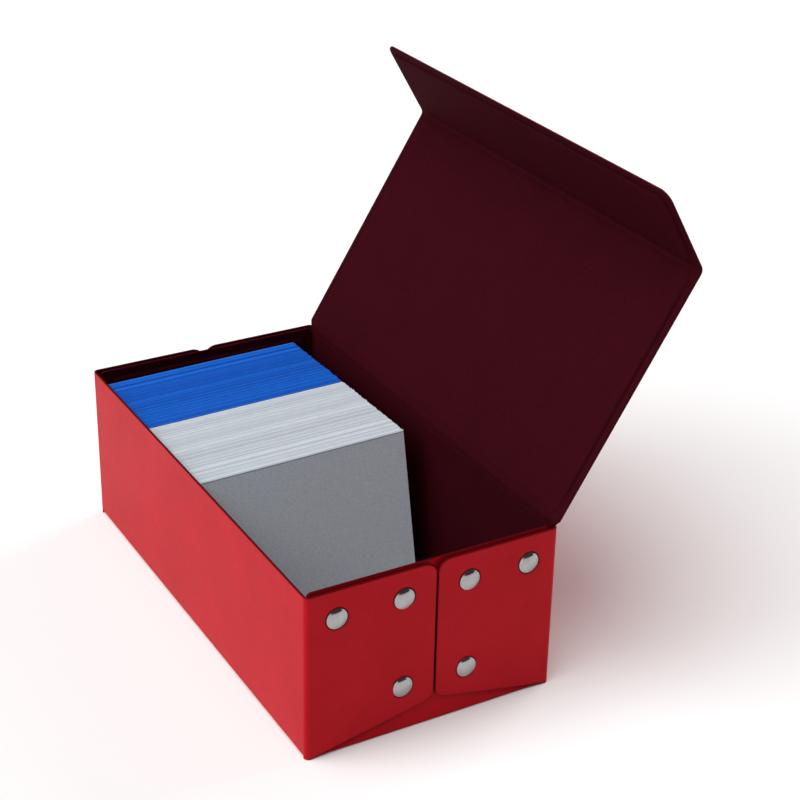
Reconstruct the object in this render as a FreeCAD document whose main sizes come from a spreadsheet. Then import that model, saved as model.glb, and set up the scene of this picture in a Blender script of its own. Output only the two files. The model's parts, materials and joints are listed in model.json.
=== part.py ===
import FreeCAD, Part
import os
from math import atan2, cos, pi, radians, sin, tan

import Sketcher

# A leather card deck box that stands open with two stacks of sleeved cards in it.
# Frame: millimetres, origin under the middle of the floor, +X towards the right end,
# -Y towards the front wall, +Y towards the hinged back wall, +Z up.
# Every wall is a sandwich: an outer cover, a stiff board and a lining that wraps the board.
# Soft folds of cover and lining alone join the walls, so each fold is a strip of its own.

X = FreeCAD.Vector(1, 0, 0)
Y = FreeCAD.Vector(0, 1, 0)
Z = FreeCAD.Vector(0, 0, 1)

# ---------------------------------------------------------------- driving dimensions

DRIVING = {
    # the box
    "box_length": 200.0,
    "box_width": 104.0,
    "box_height": 69.0,
    # the sandwich
    "cover_thickness": 0.6,
    "board_thickness": 0.7,
    "lining_thickness": 0.4,
    "free_border": 4.0,
    "fold_border": 1.0,
    "emboss_radius": 4.0,
    "fold_radius": 2.0,
    # the end walls that stand inside the flaps
    "end_wall_setback": 2.7,
    "end_wall_half_width": 50.1,
    "end_wall_corner": 2.0,
    # the flaps that close each end
    "flap_gap_top": 1.4,
    "flap_gap_bottom": 0.5,
    "flap_seam": 0.9,
    "flap_toe": 0.4,
    "flap_slope": 0.207,
    "flap_top_corner": 5.5,
    "flap_bottom_corner": 4.0,
    # the lid and its lip
    "lid_clearance": 0.3,
    "lid_overhang": 4.0,
    "lid_fold_radius": 2.5,
    "lip_length": 38.5,
    "lip_corner": 5.0,
    "lid_opening": 121.8,
    "lip_opening": 28.2,
    # the press studs
    "snap_outer": 39.6,
    "snap_inner": 13.5,
    "snap_high": 57.3,
    "snap_low": 19.4,
    "cap_radius": 4.25,
    "cap_rim": 0.45,
    "cap_height": 1.0,
    "cap_edge_radius": 0.3,
    "barrel_radius": 2.9,
    "barrel_bore": 2.45,
    "socket_flange_radius": 4.0,
    "socket_flange": 0.35,
    "stud_flange_radius": 3.4,
    "stud_flange": 0.25,
    "stud_neck_radius": 1.7,
    "stud_neck": 1.4,
    "stud_head_radius": 2.1,
    "stud_reach": 2.3,
    "post_radius": 1.2,
    "post_head_radius": 3.0,
    "post_head": 0.4,
    # the closing magnets sealed in the lip and the front wall
    "magnet_radius": 5.0,
    "magnet_spacing": 60.0,
    "magnet_fit": 0.1,
    "magnet_height": 44.0,
    # the two stacks of sleeved cards
    "card_length": 91.0,
    "card_front_gap": 0.8,
    "card_lift": 0.1,
    "card_height": 64.4,
    "card_lean": 12.4,
    "card_skew": 1.4,
    "stack_far": -76.0,
    "blue_stack": 44.4,
    "white_stack": 50.4,
    "stack_gap": 0.3,
}

doc = FreeCAD.newDocument("card_deck_box")
sheet = doc.addObject("Spreadsheet::Sheet", "Dims")
for row, (alias, number) in enumerate(DRIVING.items(), start=1):
    sheet.set(f"A{row}", alias.replace("_", " "))
    sheet.set(f"B{row}", str(number))
    sheet.setAlias(f"B{row}", alias)
doc.recompute()

sub_parts = []


def value(expression):
    """The number that an expression of sheet cells comes to."""
    return float(sheet.evalExpression(expression))


# names for sums of cells that several sub-parts use
BORDER_THICKNESS = "(Dims.cover_thickness + Dims.lining_thickness)"
PANEL_THICKNESS = "(Dims.cover_thickness + Dims.board_thickness + Dims.lining_thickness)"
LID_TOP = f"(Dims.box_height + Dims.lid_clearance + {PANEL_THICKNESS})"
LID_DEPTH = "(Dims.box_width + Dims.lid_overhang)"

# ---------------------------------------------------------------- sketch and feature helpers


def new_body(name):
    """A body that becomes the sub-part of that name."""
    body = doc.addObject("PartDesign::Body", name)
    body.Label = name
    body.AllowCompound = True
    sub_parts.append(body)
    return body


def sketch_on(body, role, height="0"):
    """A sketch on one of the body's own origin planes, raised by an expression."""
    sketch = body.newObject("Sketcher::SketchObject", f"{body.Name}_sketch")
    plane = next(item for item in body.Origin.OriginFeatures if item.Role == role)
    sketch.AttachmentSupport = [(plane, "")]
    sketch.MapMode = "FlatFace"
    if height != "0":
        sketch.setExpression("AttachmentOffset.Base.z", height)
    return sketch


def pin_point(sketch, geometry, end, across, up):
    """Tie a point of the sketch to its place, given as two expressions."""
    for kind, axis, expression in (("DistanceX", -2, across), ("DistanceY", -1, up)):
        if expression == "0":
            sketch.addConstraint(Sketcher.Constraint("PointOnObject", geometry, end, axis))
        else:
            rule = Sketcher.Constraint(kind, -1, 1, geometry, end, value(expression))
            index = sketch.addConstraint(rule)
            sketch.setExpression(f"Constraints[{index}]", expression)


def draw_outline(sketch, corners):
    """A closed anticlockwise outline; a corner is (across, up, radius), as expressions.

    A sharp corner has the radius None.  A round one is an arc tangent to its two lines,
    and a construction point at their crossing carries the corner's place.
    """
    spots = [FreeCAD.Vector(value(across), value(up), 0) for across, up, _ in corners]
    count = len(spots)
    arrivals = []
    departures = []
    centres = []
    for index, spot in enumerate(spots):
        back = (spots[index - 1] - spot).normalize()
        onward = (spots[(index + 1) % count] - spot).normalize()
        half_angle = back.getAngle(onward) / 2
        radius = value(corners[index][2]) if corners[index][2] else 0.0
        reach = radius / tan(half_angle)
        arrivals.append(spot + back * reach)
        departures.append(spot + onward * reach)
        centres.append(spot + (back + onward).normalize() * (radius / sin(half_angle)))
    for index in range(count):
        line = Part.LineSegment(departures[index], arrivals[(index + 1) % count])
        sketch.addGeometry(line, False)
    for index, (across, up, radius) in enumerate(corners):
        last_line = (index - 1) % count
        if radius is None:
            sketch.addConstraint(Sketcher.Constraint("Coincident", last_line, 2, index, 1))
            pin_point(sketch, index, 1, across, up)
            continue
        centre = centres[index]
        start = arrivals[index] - centre
        finish = departures[index] - centre
        start_angle = atan2(start.y, start.x)
        finish_angle = atan2(finish.y, finish.x)
        if finish_angle < start_angle:
            finish_angle += 2 * pi
        circle = Part.Circle(centre, Z, value(radius))
        arc = sketch.addGeometry(Part.ArcOfCircle(circle, start_angle, finish_angle), False)
        sketch.addConstraint(Sketcher.Constraint("Tangent", last_line, 2, arc, 1))
        sketch.addConstraint(Sketcher.Constraint("Tangent", arc, 2, index, 1))
        size = sketch.addConstraint(Sketcher.Constraint("Radius", arc, value(radius)))
        sketch.setExpression(f"Constraints[{size}]", radius)
        mark = sketch.addGeometry(Part.Point(spots[index]), True)
        sketch.addConstraint(Sketcher.Constraint("PointOnObject", mark, 1, last_line))
        sketch.addConstraint(Sketcher.Constraint("PointOnObject", mark, 1, index))
        pin_point(sketch, mark, 1, across, up)


def draw_circles(sketch, places, radius):
    """Circles of one radius at places given as pairs of expressions."""
    for across, up in places:
        centre = FreeCAD.Vector(value(across), value(up), 0)
        circle = sketch.addGeometry(Part.Circle(centre, Z, value(radius)), False)
        pin_point(sketch, circle, 3, across, up)
        size = sketch.addConstraint(Sketcher.Constraint("Radius", circle, value(radius)))
        sketch.setExpression(f"Constraints[{size}]", radius)


def pad(body, sketch, length):
    """Raise a sketch by a length given as an expression."""
    feature = body.newObject("PartDesign::Pad", f"{body.Name}_pad")
    feature.Profile = sketch
    feature.setExpression("Length", length)
    sketch.Visibility = False
    doc.recompute()
    return feature


def pocket_up(body, sketch, depth):
    """Cut a sketch upwards through the body, and make sure that it removed something."""
    before = body.Shape.Volume
    feature = body.newObject("PartDesign::Pocket", f"{body.Name}_pocket")
    feature.Profile = sketch
    feature.Reversed = True
    feature.setExpression("Length", depth)
    sketch.Visibility = False
    doc.recompute()
    if not body.Shape.Volume < before - 1e-3:
        raise ValueError(f"a pocket of {body.Label} cut nothing")
    return feature


# ---------------------------------------------------------------- panels of cover, board, lining


def plain_panel(half, base, top, edges, corner=None):
    """Outline of a rectangular panel, set in by a border.

    edges says which of its base, top and ends are "fold" or "free"; corner is the
    rounding of the two top corners of the outer outline.
    """

    def outline(free, fold, radius):
        inset = {"free": free, "fold": fold}
        wide = f"({half} - {inset[edges['ends']]})"
        low = f"({base} + {inset[edges['base']]})"
        high = f"({top} - {inset[edges['top']]})"
        upper = radius or corner
        return [
            (f"-{wide}", low, radius),
            (wide, low, radius),
            (wide, high, upper),
            (f"-{wide}", high, upper),
        ]

    return outline


def flap_panel(side):
    """Outline of an end flap, right of its frame's middle for side 1 and left for -1.

    The flaps meet a little left of the middle, so the right one of each pair is wider.
    """
    seam = "- Dims.flap_seam" if side > 0 else "+ Dims.flap_seam"

    def outline(free, fold, radius):
        root = f"(Dims.box_width / 2 - Dims.fold_radius - {fold})"
        foot = f"(Dims.flap_gap_bottom / 2 {seam} + {free})"
        head = f"(Dims.flap_gap_top / 2 {seam} + {free})"
        high = f"(Dims.box_height - {free})"
        hinge_edge = "(Dims.box_width / 2 - Dims.fold_radius)"
        toe = f"(Dims.flap_toe + Dims.flap_slope * {fold} + {free})"
        heel = f"(Dims.flap_toe + Dims.flap_slope * ({hinge_edge} - {foot}) + {free})"
        corners = [
            (foot, heel, radius or "Dims.flap_bottom_corner"),
            (root, toe, radius),
            (root, high, radius),
            (head, high, radius or "Dims.flap_top_corner"),
        ]
        if side > 0:
            return corners
        return [(f"-{across}", up, rounding) for across, up, rounding in reversed(corners)]

    return outline


def cut_holes(body, places, radius):
    """Round holes through every layer of a panel."""
    if places:
        sketch = sketch_on(body, "XY_Plane")
        draw_circles(sketch, places, radius)
        pocket_up(body, sketch, f"2 * {PANEL_THICKNESS}")


def panel(name, outline, frame, holes=(), hole_radius=None, board_holes=(), board_radius=None):
    """The cover, board and lining of one panel, outer face on the frame's z = 0."""
    nothing = "0"
    cover = new_body(f"{name}_cover")
    sketch = sketch_on(cover, "XY_Plane")
    draw_outline(sketch, outline(nothing, nothing, None))
    pad(cover, sketch, "Dims.cover_thickness")
    cut_holes(cover, holes, hole_radius)

    wrap = "Dims.lining_thickness"
    board_outline = outline(
        f"(Dims.free_border + {wrap})",
        f"(Dims.fold_border + {wrap})",
        f"Dims.emboss_radius - {wrap}",
    )
    board = new_body(f"{name}_board")
    sketch = sketch_on(board, "XY_Plane", "Dims.cover_thickness")
    draw_outline(sketch, board_outline)
    pad(board, sketch, "Dims.board_thickness")
    cut_holes(board, holes, hole_radius)
    cut_holes(board, board_holes, board_radius)

    lining = new_body(f"{name}_lining")
    sketch = sketch_on(lining, "XY_Plane", "Dims.cover_thickness")
    draw_outline(sketch, outline(nothing, nothing, None))
    pad(lining, sketch, "Dims.lining_thickness")
    sketch = sketch_on(lining, "XY_Plane", "Dims.cover_thickness")
    draw_outline(sketch, outline("Dims.free_border", "Dims.fold_border", "Dims.emboss_radius"))
    pad(lining, sketch, "Dims.board_thickness + Dims.lining_thickness")
    sketch = sketch_on(lining, "XY_Plane", "Dims.cover_thickness")
    draw_outline(sketch, board_outline)
    pocket_up(lining, sketch, "Dims.board_thickness")
    cut_holes(lining, holes, hole_radius)

    for layer in (cover, board, lining):
        layer.Placement = frame


def facing(across, up, inward, foot):
    """Frame of a panel: its own x, y and z directions, and the foot of its outer face."""
    return FreeCAD.Placement(foot, FreeCAD.Rotation(across, up, inward, "XYZ"))


def swing(centre, angle):
    """A turn about an axis along -X, the way the lid and its lip open."""
    return FreeCAD.Placement(FreeCAD.Vector(), FreeCAD.Rotation(-X, angle), centre)


half_length = value("Dims.box_length / 2")
half_width = value("Dims.box_width / 2")
end_wall_face = value("Dims.box_length / 2 - Dims.end_wall_setback")
lid_top = value(LID_TOP)

bottom_frame = facing(X, Y, Z, FreeCAD.Vector())
front_frame = facing(-X, Z, Y, -half_width * Y)
back_frame = facing(X, Z, -Y, half_width * Y)
right_frame = facing(-Y, Z, -X, half_length * X)
left_frame = facing(Y, Z, X, -half_length * X)
right_wall_frame = facing(-Y, Z, -X, end_wall_face * X)
left_wall_frame = facing(Y, Z, X, -end_wall_face * X)

# A fold bends a strip of cover and lining.  Its quarter bend has the middle radius
# fold_middle, and the axis that a living hinge turns about lies pi / 4 of that radius
# from the bend's centre in both directions, so the strip keeps its length as it opens.
lid_fold_middle = value(f"Dims.lid_fold_radius - {BORDER_THICKNESS} / 2")
lid_axis_offset = pi / 4 * lid_fold_middle
lid_hinge_centre = FreeCAD.Vector(
    0,
    half_width - value("Dims.lid_fold_radius") + lid_axis_offset,
    lid_top - value("Dims.lid_fold_radius") + lid_axis_offset,
)
lip_edge = half_width - value(LID_DEPTH)
lip_crease_centre = FreeCAD.Vector(
    0,
    lip_edge + value("Dims.lid_fold_radius") - lid_axis_offset,
    lid_top - value("Dims.lid_fold_radius") + lid_axis_offset,
)
lid_swing = swing(lid_hinge_centre, value("Dims.lid_opening"))
lip_swing = swing(lip_crease_centre, value("Dims.lip_opening"))
lid_frame = lid_swing * facing(X, -Y, -Z, FreeCAD.Vector(0, half_width, lid_top))
lip_frame = lid_swing * lip_swing * facing(X, -Z, Y, FreeCAD.Vector(0, lip_edge, lid_top))

ALL_FOLDS = {"base": "fold", "top": "fold", "ends": "fold"}
OPEN_TOP = {"base": "fold", "top": "free", "ends": "fold"}
OPEN_SIDES = {"base": "fold", "top": "fold", "ends": "free"}
OPEN_ROUND = {"base": "fold", "top": "free", "ends": "free"}

WALL_HALF = "(Dims.box_length / 2 - Dims.fold_radius)"
FLOOR_HALF_LENGTH = "(Dims.box_length / 2 - Dims.end_wall_setback - Dims.fold_radius)"
FLOOR_HALF_WIDTH = "(Dims.box_width / 2 - Dims.fold_radius)"
BACK_TOP = f"({LID_TOP} - Dims.lid_fold_radius)"
MAGNET_HOLE = "Dims.magnet_radius + Dims.magnet_fit"
BARREL_HOLE = "Dims.barrel_radius"

wall_magnets = [(f"{sign}Dims.magnet_spacing", "Dims.magnet_height") for sign in ("", "-")]
lip_magnets = [(across, f"({LID_TOP} - Dims.magnet_height)") for across, _ in wall_magnets]


def snap_places(side):
    """The three press studs of one flap, in the frame of its end."""
    sign = "" if side > 0 else "-"
    return [
        (f"{sign}Dims.snap_outer", "Dims.snap_high"),
        (f"({sign}Dims.snap_inner - Dims.flap_seam)", "Dims.snap_high"),
        (f"({sign}Dims.snap_inner - Dims.flap_seam)", "Dims.snap_low"),
    ]


# the floor reaches the folds on all four sides
panel(
    "bottom",
    plain_panel(FLOOR_HALF_LENGTH, f"-{FLOOR_HALF_WIDTH}", FLOOR_HALF_WIDTH, ALL_FOLDS),
    bottom_frame,
)
panel(
    "front_wall",
    plain_panel(WALL_HALF, "Dims.fold_radius", "Dims.box_height", OPEN_TOP),
    front_frame,
    board_holes=wall_magnets,
    board_radius=MAGNET_HOLE,
)
panel(
    "back_wall",
    plain_panel(WALL_HALF, "Dims.fold_radius", BACK_TOP, ALL_FOLDS),
    back_frame,
)
panel(
    "lid",
    plain_panel(
        "Dims.box_length / 2",
        "Dims.lid_fold_radius",
        f"({LID_DEPTH} - Dims.lid_fold_radius)",
        OPEN_SIDES,
    ),
    lid_frame,
)
panel(
    "lip",
    plain_panel(
        "Dims.box_length / 2",
        "Dims.lid_fold_radius",
        "Dims.lip_length",
        OPEN_ROUND,
        "Dims.lip_corner",
    ),
    lip_frame,
    board_holes=lip_magnets,
    board_radius=MAGNET_HOLE,
)
for end, wall_frame in (("right", right_wall_frame), ("left", left_wall_frame)):
    panel(
        f"{end}_end_wall",
        plain_panel(
            "Dims.end_wall_half_width",
            "Dims.fold_radius",
            "Dims.box_height",
            OPEN_ROUND,
            "Dims.end_wall_corner",
        ),
        wall_frame,
        holes=snap_places(1) + snap_places(-1),
        hole_radius="Dims.post_radius",
    )

# each flap: its name, the side of its frame it lies on, and the frame of its end
FLAPS = (
    ("right_front_flap", 1, right_frame),
    ("right_back_flap", -1, right_frame),
    ("left_front_flap", -1, left_frame),
    ("left_back_flap", 1, left_frame),
)
for flap, side, end_frame in FLAPS:
    panel(flap, flap_panel(side), end_frame, holes=snap_places(side), hole_radius=BARREL_HOLE)

# ---------------------------------------------------------------- folds between the panels


def fold_strip(name, middle_radius, angle, length, frame):
    """A bent strip of cover and lining: a ring sector in the frame's x-y plane.

    It starts on the frame's x axis, turns towards y by the angle and has its length
    centred along z.  The radius is that of its middle, and all three are expressions.
    """
    inner = f"({middle_radius} - {BORDER_THICKNESS} / 2)"
    outer = f"({middle_radius} + {BORDER_THICKNESS} / 2)"
    turn = radians(value(angle))
    body = new_body(name)
    sketch = sketch_on(body, "XY_Plane", f"-({length}) / 2")
    for radius in (inner, outer):
        circle = Part.Circle(FreeCAD.Vector(), Z, value(radius))
        sketch.addGeometry(Part.ArcOfCircle(circle, 0.0, turn), False)
    rim = FreeCAD.Vector(cos(turn), sin(turn), 0)
    sketch.addGeometry(Part.LineSegment(value(inner) * X, value(outer) * X), False)
    sketch.addGeometry(Part.LineSegment(value(inner) * rim, value(outer) * rim), False)
    for arc, radius in ((0, inner), (1, outer)):
        sketch.addConstraint(Sketcher.Constraint("Coincident", arc, 3, -1, 1))
        sketch.addConstraint(Sketcher.Constraint("Coincident", arc, 1, 2, arc + 1))
        sketch.addConstraint(Sketcher.Constraint("Coincident", arc, 2, 3, arc + 1))
        size = sketch.addConstraint(Sketcher.Constraint("Radius", arc, value(radius)))
        sketch.setExpression(f"Constraints[{size}]", radius)
    sketch.addConstraint(Sketcher.Constraint("Horizontal", 2))
    sketch.addConstraint(Sketcher.Constraint("PointOnObject", 2, 1, -1))
    bend = sketch.addConstraint(Sketcher.Constraint("Angle", 2, 1, 3, 1, turn))
    sketch.setExpression(f"Constraints[{bend}]", f"({angle}) * 1 deg")
    sketch.addConstraint(Sketcher.Constraint("PointOnObject", -1, 1, 3))
    pad(body, sketch, length)
    body.Placement = frame


def bend_frame(centre, start, towards):
    """Frame of a fold: its centre, the direction it starts in and the one it turns to."""
    return FreeCAD.Placement(
        centre, FreeCAD.Rotation(start, towards, start.cross(towards), "XYZ")
    )


FOLD_MIDDLE = f"(Dims.fold_radius - {BORDER_THICKNESS} / 2)"
LID_FOLD_MIDDLE = f"(Dims.lid_fold_radius - {BORDER_THICKNESS} / 2)"
HALF_GAP = f"(pi / 4 * {LID_FOLD_MIDDLE})"
LEAN_BACK = "(Dims.lid_opening - 90)"
LIP_FOLD = "(90 - Dims.lip_opening)"

fold_radius = value("Dims.fold_radius")
floor_half_length = value(FLOOR_HALF_LENGTH)
floor_half_width = value(FLOOR_HALF_WIDTH)
lengthwise = f"2 * {FLOOR_HALF_LENGTH}"
crosswise = "2 * Dims.end_wall_half_width"
floor_folds = (
    ("bottom_front_fold", -Y, floor_half_width, lengthwise),
    ("bottom_back_fold", Y, floor_half_width, lengthwise),
    ("bottom_right_fold", X, floor_half_length, crosswise),
    ("bottom_left_fold", -X, floor_half_length, crosswise),
)
for name, outward, reach, length in floor_folds:
    centre = reach * outward + fold_radius * Z
    fold_strip(name, FOLD_MIDDLE, "90", length, bend_frame(centre, -Z, outward))

# the upright folds between the long walls and the flaps
corner_height = "(Dims.box_height - Dims.flap_toe)"
corner_middle = value("(Dims.box_height + Dims.flap_toe) / 2")
for end, along in (("right", X), ("left", -X)):
    for face, across in (("front", -Y), ("back", Y)):
        centre = (half_length - fold_radius) * along + floor_half_width * across
        frame = bend_frame(centre + corner_middle * Z, across, along)
        fold_strip(f"{end}_{face}_corner_fold", FOLD_MIDDLE, "90", corner_height, frame)

# The lid leans back past upright, so its hinge strip bends away from the box, about a
# centre outside the back wall.  A living hinge of half length HALF_GAP bent by an angle
# has the middle radius HALF_GAP / tan(angle / 2), less or more the axis's own offset.
axis_inset = f"({LID_FOLD_MIDDLE} - {HALF_GAP})"
hinge_middle = f"({HALF_GAP} / tan({LEAN_BACK} / 2 * 1 deg) - {axis_inset})"
hinge_reach = value(f"{hinge_middle} - {BORDER_THICKNESS} / 2")
hinge_bend = FreeCAD.Vector(0, half_width + hinge_reach, value(BACK_TOP))
fold_strip(
    "lid_hinge_fold", hinge_middle, LEAN_BACK, f"2 * {WALL_HALF}", bend_frame(hinge_bend, -Y, Z)
)

# the crease between the lid and its lip, bent towards the inside
crease_middle = f"({HALF_GAP} / tan({LIP_FOLD} / 2 * 1 deg) + {axis_inset})"
crease_reach = value(f"{crease_middle} + {BORDER_THICKNESS} / 2")
crease_start = lip_edge + value("Dims.lid_fold_radius")
crease_bend = FreeCAD.Vector(0, crease_start, lid_top - crease_reach)
fold_strip(
    "lip_crease_fold",
    crease_middle,
    LIP_FOLD,
    "Dims.box_length",
    lid_swing * bend_frame(crease_bend, Z, -Y),
)

# ---------------------------------------------------------------- turned metal pieces


def turned_group(name, places, profile, frame):
    """Separate turned pieces of one profile, at places in the frame.

    The profile's corners are (radius, depth, rounding), depth measured inwards from the
    panel's outer face, anticlockwise with depth up.
    """
    body = new_body(name)
    for across, up in places:
        sketch = sketch_on(body, "XZ_Plane", f"-({up})")
        sketch.setExpression("AttachmentOffset.Base.x", across)
        draw_outline(sketch, profile)
        doc.recompute()
        feature = body.newObject("PartDesign::Revolution", f"{name}_turn")
        feature.Profile = sketch
        feature.ReferenceAxis = (sketch, ["V_Axis"])
        feature.Angle = 360.0
        sketch.Visibility = False
        doc.recompute()
    body.Placement = frame


cap_profile = [
    ("0", "-Dims.cap_height", None),
    ("Dims.cap_radius", "-Dims.cap_rim", "Dims.cap_edge_radius"),
    ("Dims.cap_radius", "0", None),
    ("0", "0", None),
]
socket_profile = [
    ("Dims.barrel_bore", "0", None),
    ("Dims.barrel_radius", "0", None),
    ("Dims.barrel_radius", PANEL_THICKNESS, None),
    ("Dims.socket_flange_radius", PANEL_THICKNESS, None),
    ("Dims.socket_flange_radius", f"{PANEL_THICKNESS} + Dims.socket_flange", None),
    ("Dims.barrel_bore", f"{PANEL_THICKNESS} + Dims.socket_flange", None),
]
stud_profile = [
    ("0", "-Dims.stud_reach", None),
    ("Dims.stud_head_radius", "-Dims.stud_reach", "Dims.cap_edge_radius"),
    ("Dims.stud_head_radius", "-Dims.stud_neck", None),
    ("Dims.stud_neck_radius", "-Dims.stud_neck", None),
    ("Dims.stud_neck_radius", "-Dims.stud_flange", None),
    ("Dims.stud_flange_radius", "-Dims.stud_flange", None),
    ("Dims.stud_flange_radius", "0", None),
    ("0", "0", None),
]
post_profile = [
    ("0", "0", None),
    ("Dims.post_radius", "0", None),
    ("Dims.post_radius", PANEL_THICKNESS, None),
    ("Dims.post_head_radius", PANEL_THICKNESS, None),
    ("Dims.post_head_radius", f"{PANEL_THICKNESS} + Dims.post_head", None),
    ("0", f"{PANEL_THICKNESS} + Dims.post_head", None),
]
for flap, side, end_frame in FLAPS:
    turned_group(f"{flap}_snap_caps", snap_places(side), cap_profile, end_frame)
    turned_group(f"{flap}_snap_sockets", snap_places(side), socket_profile, end_frame)
for end, wall_frame in (("right", right_wall_frame), ("left", left_wall_frame)):
    six_places = snap_places(1) + snap_places(-1)
    turned_group(f"{end}_end_wall_snap_studs", six_places, stud_profile, wall_frame)
    turned_group(f"{end}_end_wall_snap_posts", six_places, post_profile, wall_frame)

# ---------------------------------------------------------------- sealed magnets

magnet_profile = [
    ("0", "Dims.cover_thickness", None),
    ("Dims.magnet_radius", "Dims.cover_thickness", None),
    ("Dims.magnet_radius", "Dims.cover_thickness + Dims.board_thickness", None),
    ("0", "Dims.cover_thickness + Dims.board_thickness", None),
]
turned_group("front_wall_magnets", wall_magnets, magnet_profile, front_frame)
turned_group("lip_magnets", lip_magnets, magnet_profile, lip_frame)

# ---------------------------------------------------------------- stacks of sleeved cards


def card_stack(name, near, far):
    """A leaning stack: flat on the floor, its faces between two places along X.

    near and far are expressions for the stack's feet on the front wall's side; its faces
    lean towards the left end and run a little askew of the end walls.
    """
    front = f"(-Dims.box_width / 2 + {PANEL_THICKNESS} + Dims.card_front_gap)"
    back = f"({front} + Dims.card_length)"
    drift = "(Dims.card_length * tan(Dims.card_skew * 1 deg))"
    body = new_body(name)
    sketch = sketch_on(body, "XY_Plane", f"{PANEL_THICKNESS} + Dims.card_lift")
    draw_outline(
        sketch,
        [
            (far, front, None),
            (near, front, None),
            (f"({near} - {drift})", back, None),
            (f"({far} - {drift})", back, None),
        ],
    )
    feature = pad(body, sketch, "Dims.card_height")
    feature.UseCustomVector = True
    feature.AlongSketchNormal = True
    feature.Direction = FreeCAD.Vector(-tan(radians(value("Dims.card_lean"))), 0, 1)
    doc.recompute()


BLUE_NEAR = "(Dims.stack_far + Dims.blue_stack)"
card_stack("blue_sleeved_cards", BLUE_NEAR, "Dims.stack_far")
card_stack(
    "white_sleeved_cards",
    f"({BLUE_NEAR} + Dims.stack_gap + Dims.white_stack)",
    f"({BLUE_NEAR} + Dims.stack_gap)",
)

# ---------------------------------------------------------------- check and write

doc.recompute()
for item in doc.Objects:
    if "Invalid" in item.State or "Error" in item.State:
        raise ValueError(f"{item.Label} failed: {item.State}")
for body in sub_parts:
    if body.Shape.isNull() or not body.Shape.isValid() or not body.Shape.Solids:
        raise ValueError(f"{body.Label} has no valid solid")

os.makedirs("parts", exist_ok=True)
for body in sub_parts:
    body.Shape.exportStep(f"parts/{body.Label}.step")
print(len(sub_parts), "sub-parts written")
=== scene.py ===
import bpy
import json
import math
import random
from mathutils import Matrix, Vector


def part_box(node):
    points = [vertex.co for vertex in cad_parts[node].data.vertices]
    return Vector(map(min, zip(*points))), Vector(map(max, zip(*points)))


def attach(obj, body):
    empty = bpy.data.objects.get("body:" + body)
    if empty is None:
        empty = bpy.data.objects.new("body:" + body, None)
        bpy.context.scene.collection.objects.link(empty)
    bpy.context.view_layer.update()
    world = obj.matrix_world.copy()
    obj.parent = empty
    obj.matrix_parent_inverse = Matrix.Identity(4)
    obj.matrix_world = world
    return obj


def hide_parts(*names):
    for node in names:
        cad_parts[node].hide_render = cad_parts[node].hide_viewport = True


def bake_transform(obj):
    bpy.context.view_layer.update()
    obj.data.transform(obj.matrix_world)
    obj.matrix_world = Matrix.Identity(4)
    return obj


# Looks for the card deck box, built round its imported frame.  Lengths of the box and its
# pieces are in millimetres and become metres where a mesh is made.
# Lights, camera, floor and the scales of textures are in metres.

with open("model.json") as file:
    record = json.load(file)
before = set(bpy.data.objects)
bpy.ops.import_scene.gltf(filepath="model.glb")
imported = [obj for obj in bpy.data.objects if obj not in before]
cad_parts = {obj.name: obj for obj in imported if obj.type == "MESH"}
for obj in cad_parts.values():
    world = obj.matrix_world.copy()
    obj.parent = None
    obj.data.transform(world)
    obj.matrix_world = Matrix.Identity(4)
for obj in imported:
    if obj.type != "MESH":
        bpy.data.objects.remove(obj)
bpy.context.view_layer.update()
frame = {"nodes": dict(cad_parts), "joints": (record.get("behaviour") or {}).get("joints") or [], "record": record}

MM = 0.001
X = Vector((1, 0, 0))
Y = Vector((0, 1, 0))
Z = Vector((0, 0, 1))
rng = random.Random(7)

# ---------------------------------------------------------------- sizes from the design

COVER = 0.6
BOARD = 0.7
LINING = 0.4
BORDER = COVER + LINING
PANEL = COVER + BOARD + LINING
FREE_BORDER = 4.0
FOLD_BORDER = 1.0
EMBOSS_RADIUS = 4.0
OUTER_FOLD_RADIUS = 2.0
LID_FOLD_RADIUS = 2.5
FLAP_SLOPE = 0.207
LID_CLEARANCE = 0.3
LID_OVERHANG = 4.0
LIP_CORNER = 5.0
END_WALL_CORNER = 2.0
FLAP_TOP_CORNER = 5.5
FLAP_BASE_CORNER = 4.0

joints = {joint["name"]: joint for joint in frame["joints"]}


def corners_of(node):
    """Lowest and highest corner of a CAD node in millimetres."""
    low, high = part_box(node)
    return low / MM, high / MM


def facing(across, up, inward, foot):
    """Matrix of a panel's own frame: its three directions, and the foot of its outer face."""
    matrix = Matrix((across, up, inward)).transposed().to_4x4()
    matrix.translation = foot
    return matrix


def swing(joint):
    """The turn that brought a panel from its closed place, where the joint's range begins."""
    centre = Vector(joints[joint]["pos_m"]) / MM
    turn = math.radians(-joints[joint]["range_deg"][0])
    axis = Vector(joints[joint]["axis"])
    return centre, Matrix.Rotation(turn, 4, axis)


def about(centre, turn, matrix):
    """A matrix turned about a centre."""
    return Matrix.Translation(centre) @ turn @ Matrix.Translation(-centre) @ matrix


right_face = corners_of("right_front_flap_cover")[1].x
end_wall_face = corners_of("right_end_wall_cover")[1].x
back_face = corners_of("back_wall_cover")[1].y
box_height = corners_of("front_wall_cover")[1].z
lid_top = box_height + LID_CLEARANCE + PANEL
lip_edge = -back_face - LID_OVERHANG

lid_centre, lid_turn = swing("lid_hinge")
lip_centre_now, lip_turn = swing("lip_crease")
lip_centre = lid_centre + lid_turn.inverted() @ (lip_centre_now - lid_centre)

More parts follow.
